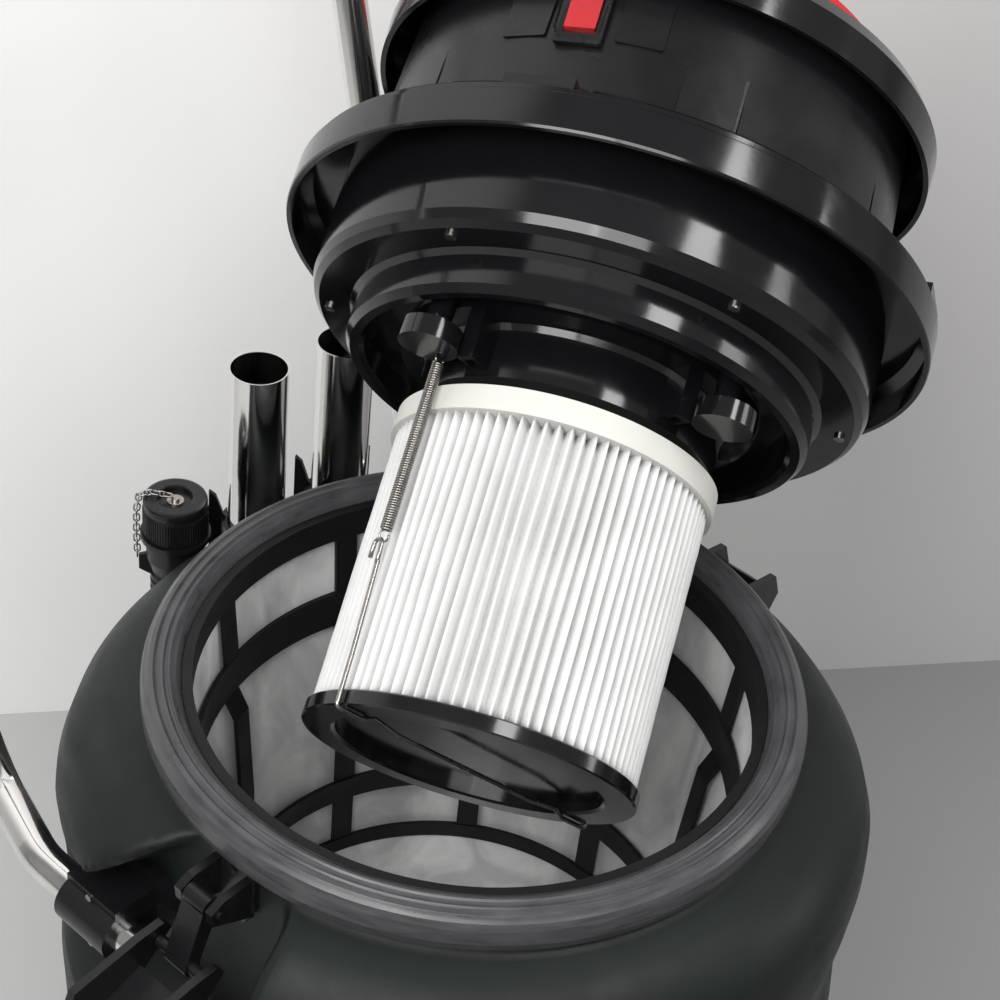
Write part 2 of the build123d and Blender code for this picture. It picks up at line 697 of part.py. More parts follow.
# ======================= trolley =======================
def make_deck():
    """Moulded deck with an upstand that holds the tank, and the axle's brackets."""
    with BuildPart() as deck:
        with BuildSketch(Plane.XY.offset(DECK_Z)):
            with BuildLine():
                Polyline(
                    (-215.0, -235.0),
                    (215.0, -235.0),
                    (235.0, -210.0),
                    (235.0, 76.0),
                    (212.0, 96.0),
                    (212.0, 306.0),
                    (-212.0, 306.0),
                    (-212.0, 96.0),
                    (-235.0, 76.0),
                    (-235.0, -210.0),
                    close=True,
                )
            make_face()
        extrude(amount=DECK_THICK)
        with BuildSketch(Plane.XY.offset(DECK_Z + DECK_THICK)):
            Circle(214.0)
            Circle(150.0, mode=Mode.SUBTRACT)
        extrude(amount=TANK_BOTTOM_Z - DECK_Z - DECK_THICK)
        for sign in (-1.0, 1.0):
            with BuildSketch(Plane.YZ.offset(sign * 196.0)):
                with BuildLine():
                    Polyline(
                        (REAR_AXLE[1] - 40.0, DECK_Z),
                        (REAR_AXLE[1] + 40.0, DECK_Z),
                        (REAR_AXLE[1] + 16.0, REAR_AXLE[2] - 22.0),
                        (REAR_AXLE[1] - 16.0, REAR_AXLE[2] - 22.0),
                        close=True,
                    )
                make_face()
            extrude(amount=sign * 6.0)
        with BuildSketch(Plane.YZ):
            with Locations((REAR_AXLE[1], REAR_AXLE[2])):
                Circle(AXLE_R)
        extrude(amount=320.0, both=True, mode=Mode.SUBTRACT)
        for x, y in CASTER_PLACES.values():
            with BuildSketch(Plane.XY.offset(DECK_Z)):
                with Locations((x, y)):
                    Circle(CASTER_STEM_R + FIT)
            extrude(amount=DECK_THICK, mode=Mode.SUBTRACT)
    save(deck, "trolley_deck")


def make_rear_axle():
    """Axle bar across the deck, with the wheels' retaining caps."""
    reach = REAR_WHEEL_X + REAR_WHEEL_WIDTH + 4.0
    with BuildPart() as axle:
        with BuildSketch(Plane.YZ.offset(-reach)):
            with Locations((REAR_AXLE[1], REAR_AXLE[2])):
                Circle(AXLE_R)
        extrude(amount=2.0 * reach)
        for sign in (-1.0, 1.0):
            with BuildSketch(Plane.YZ.offset(sign * (reach - 2.5))):
                with Locations((REAR_AXLE[1], REAR_AXLE[2])):
                    Circle(14.0)
            extrude(amount=sign * 4.0)
    save(axle, "rear_axle")


def make_rear_wheel(side, sign):
    """Solid tyre on a spoked hub."""
    x0 = sign * REAR_WHEEL_X
    local = Plane(origin=(x0, REAR_AXLE[1], REAR_AXLE[2]), x_dir=(0.0, 1.0, 0.0), z_dir=(sign, 0.0, 0.0))
    with BuildPart() as hub:
        with BuildSketch(local):
            Circle(TYRE_SEAT_R)
            Circle(AXLE_R + FIT, mode=Mode.SUBTRACT)
        extrude(amount=REAR_WHEEL_WIDTH)
        for face in (local.offset(0.0), local.offset(REAR_WHEEL_WIDTH - 11.0)):
            with BuildSketch(face):
                with PolarLocations(46.0, 6):
                    Circle(17.0)
            extrude(amount=11.0, mode=Mode.SUBTRACT)
    save(hub, f"rear_hub_{side}")
    with BuildPart() as tyre:
        with BuildSketch(local):
            Circle(REAR_WHEEL_R)
            Circle(TYRE_SEAT_R, mode=Mode.SUBTRACT)
        extrude(amount=REAR_WHEEL_WIDTH)
        chamfer(tyre.edges().filter_by(GeomType.CIRCLE).group_by(SortBy.RADIUS)[-1], 6.0)
    save(tyre, f"rear_tyre_{side}")


def make_caster(side, x, y):
    """Swivel fork and its wheel."""
    wheel_y = y + CASTER_TRAIL
    with BuildPart() as fork:
        with BuildSketch(Plane.XY.offset(DECK_Z + DECK_THICK + 4.0)):
            with Locations((x, y)):
                Circle(9.0)
        extrude(amount=-3.5)
        with BuildSketch(Plane.XY.offset(DECK_Z + DECK_THICK + 1.0)):
            with Locations((x, y)):
                Circle(CASTER_STEM_R)
        extrude(amount=-12.0)
        with BuildSketch(Plane.XY.offset(DECK_Z - 1.0)):
            with Locations((x, y)):
                Circle(22.0)
            with Locations((x, y + 10.0)):
                Rectangle(38.0, 30.0)
        extrude(amount=-8.0)
        for sign in (-1.0, 1.0):
            with BuildSketch(Plane.YZ.offset(x + sign * 15.0)):
                with BuildLine():
                    Polyline(
                        (y - 10.0, DECK_Z - 3.0),
                        (y + 25.0, DECK_Z - 3.0),
                        (wheel_y + 10.0, CASTER_WHEEL_R - 8.0),
                        (wheel_y - 10.0, CASTER_WHEEL_R - 8.0),
                        close=True,
                    )
                make_face()
            extrude(amount=sign * 3.0)
        with BuildSketch(Plane.YZ.offset(x - 21.0)):
            with Locations((wheel_y, CASTER_WHEEL_R)):
                Circle(CASTER_PIN_R)
        extrude(amount=42.0)
    save(fork, f"caster_fork_{side}")
    with BuildPart() as wheel:
        with BuildSketch(Plane.YZ.offset(x - 13.0)):
            with Locations((wheel_y, CASTER_WHEEL_R)):
                Circle(CASTER_WHEEL_R)
                Circle(CASTER_PIN_R + FIT, mode=Mode.SUBTRACT)
        extrude(amount=26.0)
        chamfer(wheel.edges().filter_by(GeomType.CIRCLE).group_by(SortBy.RADIUS)[-1], 3.0)
    save(wheel, f"caster_wheel_{side}")


# ======================= head =======================
def make_skirt():
    """Outer skirt that covers the rim: open channel below, catch pads on top."""
    outline = [
        (SKIRT_R - 4.0, 0.0),
        (SKIRT_R - 0.8, 0.0),
        (SKIRT_R, 1.5),
        (SKIRT_R, 24.0),
        (SKIRT_R - 2.5, 26.0),
        (SKIRT_R - 2.5, 29.0),
        (SKIRT_R - 5.0, SKIRT_HEIGHT + 1.5),
        (200.0, 35.0),
        (196.0, 33.0),
        (192.0, 33.5),
        (188.0, 37.0),
        (181.0, 38.0),
        (181.0, 26.0),
        (206.0, 26.0),
        (SKIRT_R - 4.0, 20.0),
    ]
    with BuildPart() as skirt:
        with BuildSketch(HEAD_SECTION):
            with BuildLine():
                Polyline(*outline, close=True)
            make_face()
        revolve(axis=HEAD_AXIS)
        with BuildSketch(HEAD.offset(28.0)):
            with PolarLocations(206.0, CATCH_PADS):
                Rectangle(15.0, 44.0)
        extrude(amount=8.0)
    save(skirt, "head_skirt")


def make_pan():
    """Underside of the head: plug wall, screwed flange, stepped ring, recess and hub."""
    path = [
        (PLUG_R, 26.0),
        (PLUG_R, -38.0),
        (PLUG_R - 2.5, -44.0),
        (PLUG_R - 7.0, FLANGE_H),
        (158.0, FLANGE_H),
        (STEP_R, -51.0),
        (STEP_R, -70.0),
        (STEP_R - 4.0, STEP_H),
        (144.0, STEP_H),
        (141.0, -72.0),
        (140.0, -58.0),
        (120.0, -58.0),
        (118.0, -66.0),
        (HUB_R + 2.0, -68.0),
        (HUB_R, -72.0),
        (HUB_R, -104.0),
        (HUB_R - 6.0, HUB_H),
        (62.0, HUB_H),
    ]
    outline = walled(path, PAN_WALL)
    with BuildPart() as pan:
        with BuildSketch(HEAD_SECTION):
            with BuildLine():
                Polyline(*outline, close=True)
            make_face()
        revolve(axis=HEAD_AXIS)
        for turn in BOSS_ANGLES:
            with BuildSketch(HEAD.offset(-56.0)):
                with Locations(polar(BOSS_R, turn)):
                    Circle(8.0)
            extrude(amount=-34.0)
            with BuildSketch(HEAD.offset(-86.0)):
                with Locations(polar(BOSS_R + 2.0, turn)):
                    Circle(19.0)
                Circle(HUB_R + 4.0, mode=Mode.SUBTRACT)
            extrude(amount=-13.0)
        for turn in HOOK_ANGLES:
            with BuildSketch(HEAD.offset(-66.0)):
                with Locations(Location(polar(HUB_R + 8.0, turn), turn)):
                    Rectangle(20.0, 12.0)
                    Rectangle(10.0, 6.0, mode=Mode.SUBTRACT)
            extrude(amount=-34.0)
        for i in range(PAN_SCREWS):
            with BuildSketch(HEAD.offset(FLANGE_H - 1.0)):
                with Locations(polar(PAN_SCREW_PCD_R, PAN_SCREW_START + 60.0 * i)):
                    Circle(1.9)
            extrude(amount=PAN_WALL + 2.0, mode=Mode.SUBTRACT)
    save(pan, "head_pan")


def make_pan_screws():
    """Pan-head screws that hold the flange."""
    with BuildPart() as screws:
        for i in range(PAN_SCREWS):
            place = polar(PAN_SCREW_PCD_R, PAN_SCREW_START + 60.0 * i)
            with BuildSketch(HEAD.offset(FLANGE_H)):
                with Locations(place):
                    Circle(3.6)
            extrude(amount=-2.2)
            with BuildSketch(HEAD.offset(FLANGE_H)):
                with Locations(place):
                    Circle(1.85)
            extrude(amount=12.0)
    save(screws, "pan_screws")


def make_housing():
    """Motor housing: tapered wall with vertical seams and the switch opening."""
    wall = [
        (HOUSING_R + 2.0, HOUSING_BASE_H),
        (HOUSING_R, HOUSING_TAPER_H),
        (HOUSING_R - HOUSING_NARROWING, HOUSING_TOP_H),
    ]
    outline = walled(wall, -3.0)
    with BuildPart() as housing:
        with BuildSketch(HEAD_SECTION):
            with BuildLine():
                Polyline(*outline, close=True)
            make_face()
        revolve(axis=HEAD_AXIS)
        with BuildSketch(HEAD.offset(HOUSING_BASE_H)):
            Circle(HOUSING_R + 4.0)
            Circle(HOUSING_R - 3.5, mode=Mode.SUBTRACT)
        extrude(amount=4.5)
        for turn in SEAM_ANGLES:
            with BuildSketch(HEAD.offset(46.0)):
                with Locations(Location(polar(HOUSING_R - 0.5, turn), turn)):
                    Rectangle(3.4, 2.4)
            extrude(amount=HOUSING_TOP_H - 50.0, mode=Mode.SUBTRACT)
        with BuildSketch(SWITCH_PLANE.offset(-14.0)):
            Rectangle(BEZEL_WIDTH - 4.4, 36.6)
        extrude(amount=20.0, mode=Mode.SUBTRACT)
    save(housing, "motor_housing")


def make_switch():
    """Rocker with its bezel and clear splash cover, and two blank plates beside it."""
    with BuildPart() as bezel:
        with BuildSketch(SWITCH_PLANE):
            RectangleRounded(BEZEL_WIDTH, BEZEL_HEIGHT, 2.0)
        extrude(amount=3.0)
        with BuildSketch(SWITCH_PLANE.offset(-12.0)):
            Rectangle(BEZEL_WIDTH - 5.0, 36.0)
        extrude(amount=12.0)
        with BuildSketch(SWITCH_PLANE.offset(-10.0)):
            Rectangle(ROCKER_WIDTH + 1.0, 31.0)
        extrude(amount=20.0, mode=Mode.SUBTRACT)
        with BuildSketch(ROCKER_PLANE):
            Circle(PIVOT_R + FIT)
        extrude(amount=ROCKER_WIDTH / 2.0 + 1.6, both=True, mode=Mode.SUBTRACT)
    save(bezel, "switch_bezel")
    rocker_side = [(-12.5, -4.0), (12.5, -4.0), (13.5, 4.0), (0.0, 2.6), (-13.5, 6.6)]
    with BuildPart() as rocker:
        with BuildSketch(ROCKER_PLANE):
            with BuildLine():
                Polyline(*rocker_side, close=True)
            make_face()
        extrude(amount=ROCKER_WIDTH / 2.0, both=True)
        with BuildSketch(ROCKER_PLANE):
            Circle(PIVOT_R)
        extrude(amount=ROCKER_WIDTH / 2.0 + 1.4, both=True)
    save(rocker, "switch_rocker")
    with BuildPart() as splash:
        with BuildSketch(SWITCH_PLANE.offset(3.0)):
            RectangleRounded(BEZEL_WIDTH - 4.0, BEZEL_HEIGHT - 5.0, 2.0)
        extrude(amount=7.5)
        with BuildSketch(SWITCH_PLANE.offset(2.0)):
            RectangleRounded(BEZEL_WIDTH - 6.5, BEZEL_HEIGHT - 7.5, 1.5)
        extrude(amount=7.3, mode=Mode.SUBTRACT)
    save(splash, "splash_cover")
    taper = Vector(HOUSING_TOP_H - HOUSING_TAPER_H, HOUSING_NARROWING).normalized()
    rise = (SWITCH_H - HOUSING_TAPER_H) / (HOUSING_TOP_H - HOUSING_TAPER_H)
    wall_r = HOUSING_R - HOUSING_NARROWING * rise + 0.15
    with BuildPart() as blanks:
        for turn in (-90.0 - BLANK_TURN, -90.0 + BLANK_TURN):
            radial = HEAD.x_dir * cos(radians(turn)) + HEAD.y_dir * sin(radians(turn))
            centre = HEAD.origin + radial * wall_r + HEAD.z_dir * SWITCH_H
            facing = radial * taper.X + HEAD.z_dir * taper.Y
            with BuildSketch(Plane(origin=centre, x_dir=HEAD.z_dir.cross(radial), z_dir=facing)):
                RectangleRounded(30.0, 33.0, 1.5)
            extrude(amount=1.0)
    save(blanks, "switch_blanks")


def make_cover():
    """Overhanging band and the dome above it."""
    band = walled([(COVER_R, 128.0), (COVER_R + 1.0, 150.0), (COVER_R - 6.0, 162.0), (150.0, 186.0)], -3.5)
    head_turned("cover_band", band)
    cap = walled([(150.0, 186.5), (149.0, 196.0), (120.0, 212.0), (60.0, 222.0), (0.0, 224.0)], -3.0)
    cap[len(cap) // 2] = (0.0, 221.0)
    head_turned("top_cap", cap)


def make_motor():
    """Motor plate, blower case, stator, rotor with its fan, gasket and float."""
    head_turned("motor_plate", ring(40.0, 181.5, -14.0, -8.0))
    case = [(30.0, -14.5), (78.0, -14.5), (78.0, -58.0), (30.0, -58.0), (30.0, -55.0), (75.0, -55.0)]
    case += [(75.0, -17.5), (30.0, -17.5)]
    head_turned("blower_case", case)
    head_turned("motor_stator", ring(34.0, 56.0, 6.0, 70.0), ring(56.0, 60.0, 20.0, 50.0))
    rotor = [(0.0, -52.0), (8.0, -52.0), (8.0, -46.0), (68.0, -46.0), (68.0, -44.0), (12.0, -36.0)]
    rotor += [(4.0, -34.0), (4.0, 2.0), (30.0, 4.0), (30.0, 68.0), (12.0, 70.0), (12.0, 84.0), (0.0, 84.0)]
    head_turned("motor_rotor", rotor)
    frame = [(12.6, 74.0), (60.0, 74.0), (60.0, -7.5), (64.0, -7.5), (64.0, 78.0), (12.6, 78.0)]
    head_turned("motor_frame", frame)
    head_turned("hub_gasket", ring(78.0, 92.0, CART_TOP_H + 0.05, HUB_H))
    cage = [(44.0, -106.0), (64.0, -106.0), (64.0, -103.5), (41.0, -103.5), (41.0, -188.0)]
    cage += [(0.0, -188.0), (0.0, -191.0), (44.0, -191.0)]
    with BuildPart() as basket:
        with BuildSketch(HEAD_SECTION):
            with BuildLine():
                Polyline(*cage, close=True)
            make_face()
        revolve(axis=HEAD_AXIS)
        with BuildSketch(HEAD.offset(-182.0)):
            with PolarLocations(42.0, 8):
                Rectangle(12.0, 20.0)
        extrude(amount=60.0, mode=Mode.SUBTRACT)
    save(basket, "float_cage")
    with BuildPart() as ball:
        with BuildSketch(HEAD_SECTION):
            with Locations((0.0, FLOAT_H)):
                Circle(FLOAT_R)
            with Locations((-50.0, FLOAT_H)):
                Rectangle(100.0, 100.0, mode=Mode.SUBTRACT)
        revolve(axis=HEAD_AXIS)
    save(ball, "float_ball")


def make_gland():
    """Cable gland at the rear of the housing."""
    rear = Plane(
        origin=HEAD.origin + HEAD.z_dir * 66.0 + HEAD.y_dir * (HOUSING_R + 0.1),
        x_dir=HEAD.x_dir,
        z_dir=HEAD.y_dir,
    )
    with BuildPart() as gland:
        with BuildSketch(rear):
            RegularPolygon(radius=13.0, side_count=6)
        extrude(amount=7.0)
        with BuildSketch(rear.offset(7.0)):
            Circle(9.0)
        extrude(amount=12.0, taper=8.0)
        with BuildSketch(rear):
            Circle(4.5)
        extrude(amount=25.0, mode=Mode.SUBTRACT)
    save(gland, "cable_gland")


# ======================= cartridge =======================
def make_cartridge():
    """Pleated cartridge: rings, pleat pack, inner mesh tube, bail and springs."""
    ring_low = CART_TOP_H - CART_RING
    cap_top = CART_TOP_H - CART_LENGTH + CART_CAP
    bottom = CART_TOP_H - CART_LENGTH
    head_turned("cartridge_ring", ring(CART_BORE_R, CART_R, ring_low, CART_TOP_H))
    head_turned("pleat_pack", ring(CART_BORE_R + 4.0, CART_R - 3.0, cap_top, ring_low))
    head_turned("inner_mesh", ring(CART_BORE_R + 0.5, CART_BORE_R + 3.0, cap_top, ring_low))
    cap = [(0.0, cap_top), (CART_R - 1.0, cap_top), (CART_R, cap_top - 1.0), (CART_R, bottom + 1.0)]
    cap += [(CART_R - 1.0, bottom), (87.0, bottom), (85.0, bottom + 1.5), (85.0, cap_top - 2.5)]
    cap += [(0.0, cap_top - 2.5)]
    head_turned("cartridge_cap", cap)
    along = Plane(
        origin=HEAD.origin,
        x_dir=HEAD.x_dir * cos(radians(BAIL_ANGLE)) + HEAD.y_dir * sin(radians(BAIL_ANGLE)),
        z_dir=HEAD.x_dir * sin(radians(BAIL_ANGLE)) - HEAD.y_dir * cos(radians(BAIL_ANGLE)),
    )
    top, under = -232.0, bottom - WIRE_R - 0.1
    reach = CART_R + WIRE_R + 1.5
    route = [
        (reach + 3.0, top),
        (reach + 0.5, bottom + 30.0),
        (reach, under - 0.5),
        (88.0, under - 0.6),
        (80.0, under + 3.0),
        (60.0, under),
        (-60.0, under + 0.8),
        (-80.0, under + 3.0),
        (-88.0, under - 0.6),
        (-reach, under - 0.5),
        (-reach - 0.5, bottom + 30.0),
        (-reach - 3.0, top),
    ]
    with BuildPart() as bail:
        with BuildLine(along) as path:
            FilletPolyline(*route, radius=3.0)
        with BuildSketch(Plane(origin=path.line @ 0, z_dir=path.line % 0)):
            Circle(WIRE_R)
        sweep(path=path.line)
    save(bail, "cartridge_bail")
    with BuildPart() as springs:
        with BuildSketch(HEAD.offset(-217.0)):
            with Locations(polar(SPRING_PITCH_R, BAIL_ANGLE), polar(SPRING_PITCH_R, BAIL_ANGLE + 180.0)):
                Circle(SPRING_R)
                Circle(SPRING_R - 1.2, mode=Mode.SUBTRACT)
        extrude(amount=117.0)
    save(springs, "bail_springs")


def make_bracket_screws():
    """Pan-head screws of the latch bases and the clamp covers."""
    with BuildPart() as screws:
        for sign in (-1.0, 1.0):
            with BuildSketch(Plane.YZ.offset(sign * (POCKET_X + LATCH_PLATE))):
                with Locations((0.0, tank_height(-34.0)), (0.0, tank_height(-70.0))):
                    Circle(3.6)
            extrude(amount=sign * 2.4)
            with BuildSketch(Plane.YZ.offset(sign * (CLAMP_X + 8.0))):
                with Locations((CLAMP_Y, CLAMP_Z)), Locations((0.0, CLAMP_SCREW_SPAN), (0.0, -CLAMP_SCREW_SPAN)):
                    Circle(2.4)
            extrude(amount=sign * 2.4)
    save(screws, "bracket_screws")


make_tank()
make_rim_seal()
make_cage()
make_felt()
make_inlet()
make_drain()
make_clips()
make_wands()
make_handle()
make_deck()
make_rear_axle()
make_skirt()
make_pan()
make_pan_screws()
make_housing()
make_switch()
make_cover()
make_motor()
make_gland()
make_cartridge()
make_bracket_screws()
make_latch_bases()
make_clamps()
for side_name, side_sign in (("left", -1.0), ("right", 1.0)):
    make_link(f"latch_link_{side_name}", side_sign)
    make_lever(f"latch_lever_{side_name}", side_sign)
    make_rear_wheel(side_name, side_sign)
for side_name, (caster_x, caster_y) in CASTER_PLACES.items():
    make_caster(side_name, caster_x, caster_y)
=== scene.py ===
"""Looks of the tilted-head dust collector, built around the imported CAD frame. Metres throughout."""

import json
import math

import bmesh
import bpy
from mathutils import Matrix, Vector, noise


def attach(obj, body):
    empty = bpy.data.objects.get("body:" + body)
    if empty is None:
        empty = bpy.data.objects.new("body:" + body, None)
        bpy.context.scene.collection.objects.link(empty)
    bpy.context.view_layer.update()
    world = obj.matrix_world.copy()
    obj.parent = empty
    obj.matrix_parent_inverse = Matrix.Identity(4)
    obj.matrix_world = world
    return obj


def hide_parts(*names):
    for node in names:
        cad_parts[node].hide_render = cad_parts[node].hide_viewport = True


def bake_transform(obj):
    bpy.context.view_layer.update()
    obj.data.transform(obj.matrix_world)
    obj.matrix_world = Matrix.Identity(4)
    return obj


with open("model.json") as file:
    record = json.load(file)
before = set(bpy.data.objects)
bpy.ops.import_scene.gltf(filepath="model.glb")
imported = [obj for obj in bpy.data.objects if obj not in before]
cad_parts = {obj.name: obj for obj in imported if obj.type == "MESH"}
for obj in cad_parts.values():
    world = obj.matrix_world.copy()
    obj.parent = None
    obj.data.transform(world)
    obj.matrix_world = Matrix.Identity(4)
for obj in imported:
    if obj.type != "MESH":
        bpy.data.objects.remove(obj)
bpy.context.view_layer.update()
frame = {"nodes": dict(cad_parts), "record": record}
nodes = frame["nodes"]

# ---- places shared with the CAD design ----
RIM_Z = 0.660
HEAD_O = Vector((0.1862, 0.0800, RIM_Z + 0.1499))
HEAD_Z = Vector((0.74963, 0.38657, 0.53723)).normalized()
HEAD_X = Vector((0.3588, -0.9194, 0.1609))
HEAD_X = (HEAD_X - HEAD_Z * HEAD_X.dot(HEAD_Z)).normalized()
HEAD_Y = HEAD_Z.cross(HEAD_X)
WELD_DISTANCE = 0.00002
CART_TOP = -0.1127
CART_RING = 0.0161
CART_LENGTH = 0.208
CART_CAP = 0.0101
CART_R = 0.106
PLEATS = 84
PLEAT_THICK = 0.0012
SPRING_R = 0.004
SPRING_PITCH_R = 0.113
SPRING_WIRE = 0.0007
SPRING_TURNS = 70
SPRING_TOP = -0.101
SPRING_LOW = -0.213
HOOK_FOOT = -0.2345
HOOK_TOP = -0.2185
HOOK_BEND_R = 0.0034
HOOK_RETURN = 0.0085
HOOK_WIRE = 0.00145
BAIL_ANGLE = math.radians(-120.0)
DRAIN = Vector((-0.006, 0.283, 0.0))
CAP_TOP_Z = RIM_Z - 0.031
CAP_R = 0.023
CAP_RECESS_R = 0.012
LUG_SIDE = Vector((-0.72, 0.69, 0.0)).normalized()
LINK_LENGTH = 0.0068
LINK_WIDTH = 0.0042
LINK_WIRE = 0.0006
LINK_PITCH = 0.0046


def head_radial(turn):
    """The direction that points away from the head's axis at a turn."""
    return (HEAD_X * math.cos(turn) + HEAD_Y * math.sin(turn)).normalized()


def head_point(radius, turn, height):
    """A point given in the head's own cylinder coordinates."""
    flat = HEAD_X * (radius * math.cos(turn)) + HEAD_Y * (radius * math.sin(turn))
    return HEAD_O + flat + HEAD_Z * height


# ======================= materials =======================
def new_material(name, color, roughness, metallic=0.0, **sockets):
    """A principled material whose constants sit on the shader's own sockets."""
    mat = bpy.data.materials.new(name)
    mat.use_nodes = True
    shader = mat.node_tree.nodes["Principled BSDF"]
    shader.inputs["Base Color"].default_value = (*color, 1.0)
    shader.inputs["Roughness"].default_value = roughness
    shader.inputs["Metallic"].default_value = metallic
    for socket, value in sockets.items():
        shader.inputs[socket.replace("_", " ")].default_value = value
    return mat, mat.node_tree, shader


def add_noise(tree, scale, detail=4.0, stretch=None, distortion=0.0):
    """A noise texture on object coordinates, optionally stretched along an axis."""
    coords = tree.nodes.new("ShaderNodeTexCoord")
    mapping = tree.nodes.new("ShaderNodeMapping")
    mapping.inputs["Scale"].default_value = stretch or (1.0, 1.0, 1.0)
    tex = tree.nodes.new("ShaderNodeTexNoise")
    tex.inputs["Scale"].default_value = scale
    tex.inputs["Detail"].default_value = detail
    tex.inputs["Distortion"].default_value = distortion
    tree.links.new(coords.outputs["Object"], mapping.inputs["Vector"])
    tree.links.new(mapping.outputs["Vector"], tex.inputs["Vector"])
    return tex


def add_ramp(tree, source, low, high, start=0.3, end=0.7):
    """Map a factor to a range of colours or greys."""
    ramp = tree.nodes.new("ShaderNodeValToRGB")
    ramp.color_ramp.elements[0].position = start
    ramp.color_ramp.elements[1].position = end
    for element, value in zip(ramp.color_ramp.elements, (low, high)):
        element.color = (*value, 1.0) if isinstance(value, tuple) else (value, value, value, 1.0)
    tree.links.new(source, ramp.inputs["Fac"])
    return ramp


def add_bump(tree, shader, source, strength, distance=0.001, normal=None):
    """Bump from a height, chained on an earlier bump if there is one."""
    bump = tree.nodes.new("ShaderNodeBump")
    bump.inputs["Strength"].default_value = strength
    bump.inputs["Distance"].default_value = distance
    tree.links.new(source, bump.inputs["Height"])
    if normal is not None:
        tree.links.new(normal, bump.inputs["Normal"])
    tree.links.new(bump.outputs["Normal"], shader.inputs["Normal"])
    return bump.outputs["Normal"]


def plastic(name, color, rough_low, rough_high, grain_scale, grain, lift=1.25, **sockets):
    """Moulded plastic: faint colour drift, uneven gloss and a fine grain."""
    mat, tree, shader = new_material(name, color, rough_low, **sockets)
    drift = add_noise(tree, 9.0, 3.0)
    bright = tuple(min(1.0, c * lift) for c in color)
    colour = add_ramp(tree, drift.outputs["Fac"], color, bright)
    tree.links.new(colour.outputs["Color"], shader.inputs["Base Color"])
    smear = add_noise(tree, 30.0, 5.0, distortion=0.6)
    gloss = add_ramp(tree, smear.outputs["Fac"], rough_low, rough_high)
    tree.links.new(gloss.outputs["Color"], shader.inputs["Roughness"])
    fine = add_noise(tree, grain_scale, 2.0)
    add_bump(tree, shader, fine.outputs["Fac"], grain, 0.0004)
    return mat


def metal(name, color, rough_low, rough_high, stretch, grain=0.05):
    """Plated or brushed metal with streaks along one axis."""
    mat, tree, shader = new_material(name, color, rough_low, 1.0)
    streak = add_noise(tree, 60.0, 4.0, stretch)
    gloss = add_ramp(tree, streak.outputs["Fac"], rough_low, rough_high)
    tree.links.new(gloss.outputs["Color"], shader.inputs["Roughness"])
    tint = add_ramp(tree, streak.outputs["Fac"], tuple(c * 0.9 for c in color), color)
    tree.links.new(tint.outputs["Color"], shader.inputs["Base Color"])
    add_bump(tree, shader, streak.outputs["Fac"], grain, 0.0002)
    return mat


def felt_material():
    """Needled felt: soft grey mottling, a faint weave of lines and fibre bump."""
    mat, tree, shader = new_material("felt_needled", (0.80, 0.80, 0.79), 0.95)
    shader.inputs["Sheen Weight"].default_value = 0.25
    stain = add_noise(tree, 22.0, 8.0, (1.0, 1.0, 0.6), 0.8)
    colour = add_ramp(tree, stain.outputs["Fac"], (0.56, 0.56, 0.56), (0.96, 0.96, 0.95), 0.34, 0.66)
    tree.links.new(colour.outputs["Color"], shader.inputs["Base Color"])
    line = add_noise(tree, 90.0, 2.0, (0.3, 0.3, 3.0))
    first = add_bump(tree, shader, line.outputs["Fac"], 0.12, 0.001)
    fibre = add_noise(tree, 900.0, 3.0)
    add_bump(tree, shader, fibre.outputs["Fac"], 0.5, 0.0005, first)
    return mat


def pleat_material():
    """Spunbond filter cloth with its pressed dots."""
    mat, tree, shader = new_material("pleat_cloth", (0.74, 0.74, 0.735), 0.75)
    shader.inputs["Subsurface Weight"].default_value = 0.25
    shader.inputs["Subsurface Radius"].default_value = (0.004, 0.004, 0.004)
    soft = add_noise(tree, 25.0, 4.0)
    colour = add_ramp(tree, soft.outputs["Fac"], (0.70, 0.70, 0.695), (0.78, 0.78, 0.775))
    tree.links.new(colour.outputs["Color"], shader.inputs["Base Color"])
    coords = tree.nodes.new("ShaderNodeTexCoord")
    dots = tree.nodes.new("ShaderNodeTexVoronoi")
    dots.inputs["Scale"].default_value = 520.0
    dots.inputs["Randomness"].default_value = 0.35
    tree.links.new(coords.outputs["Object"], dots.inputs["Vector"])
    add_bump(tree, shader, dots.outputs["Distance"], 0.35, 0.0004)
    return mat


def clear_material():
    """Thin clear cover."""
    mat, tree, shader = new_material("clear_cover", (0.95, 0.95, 0.95), 0.05)
    shader.inputs["Transmission Weight"].default_value = 1.0
    shader.inputs["IOR"].default_value = 1.12
    haze = add_noise(tree, 200.0, 2.0)
    gloss = add_ramp(tree, haze.outputs["Fac"], 0.01, 0.05)
    tree.links.new(gloss.outputs["Color"], shader.inputs["Roughness"])
    return mat


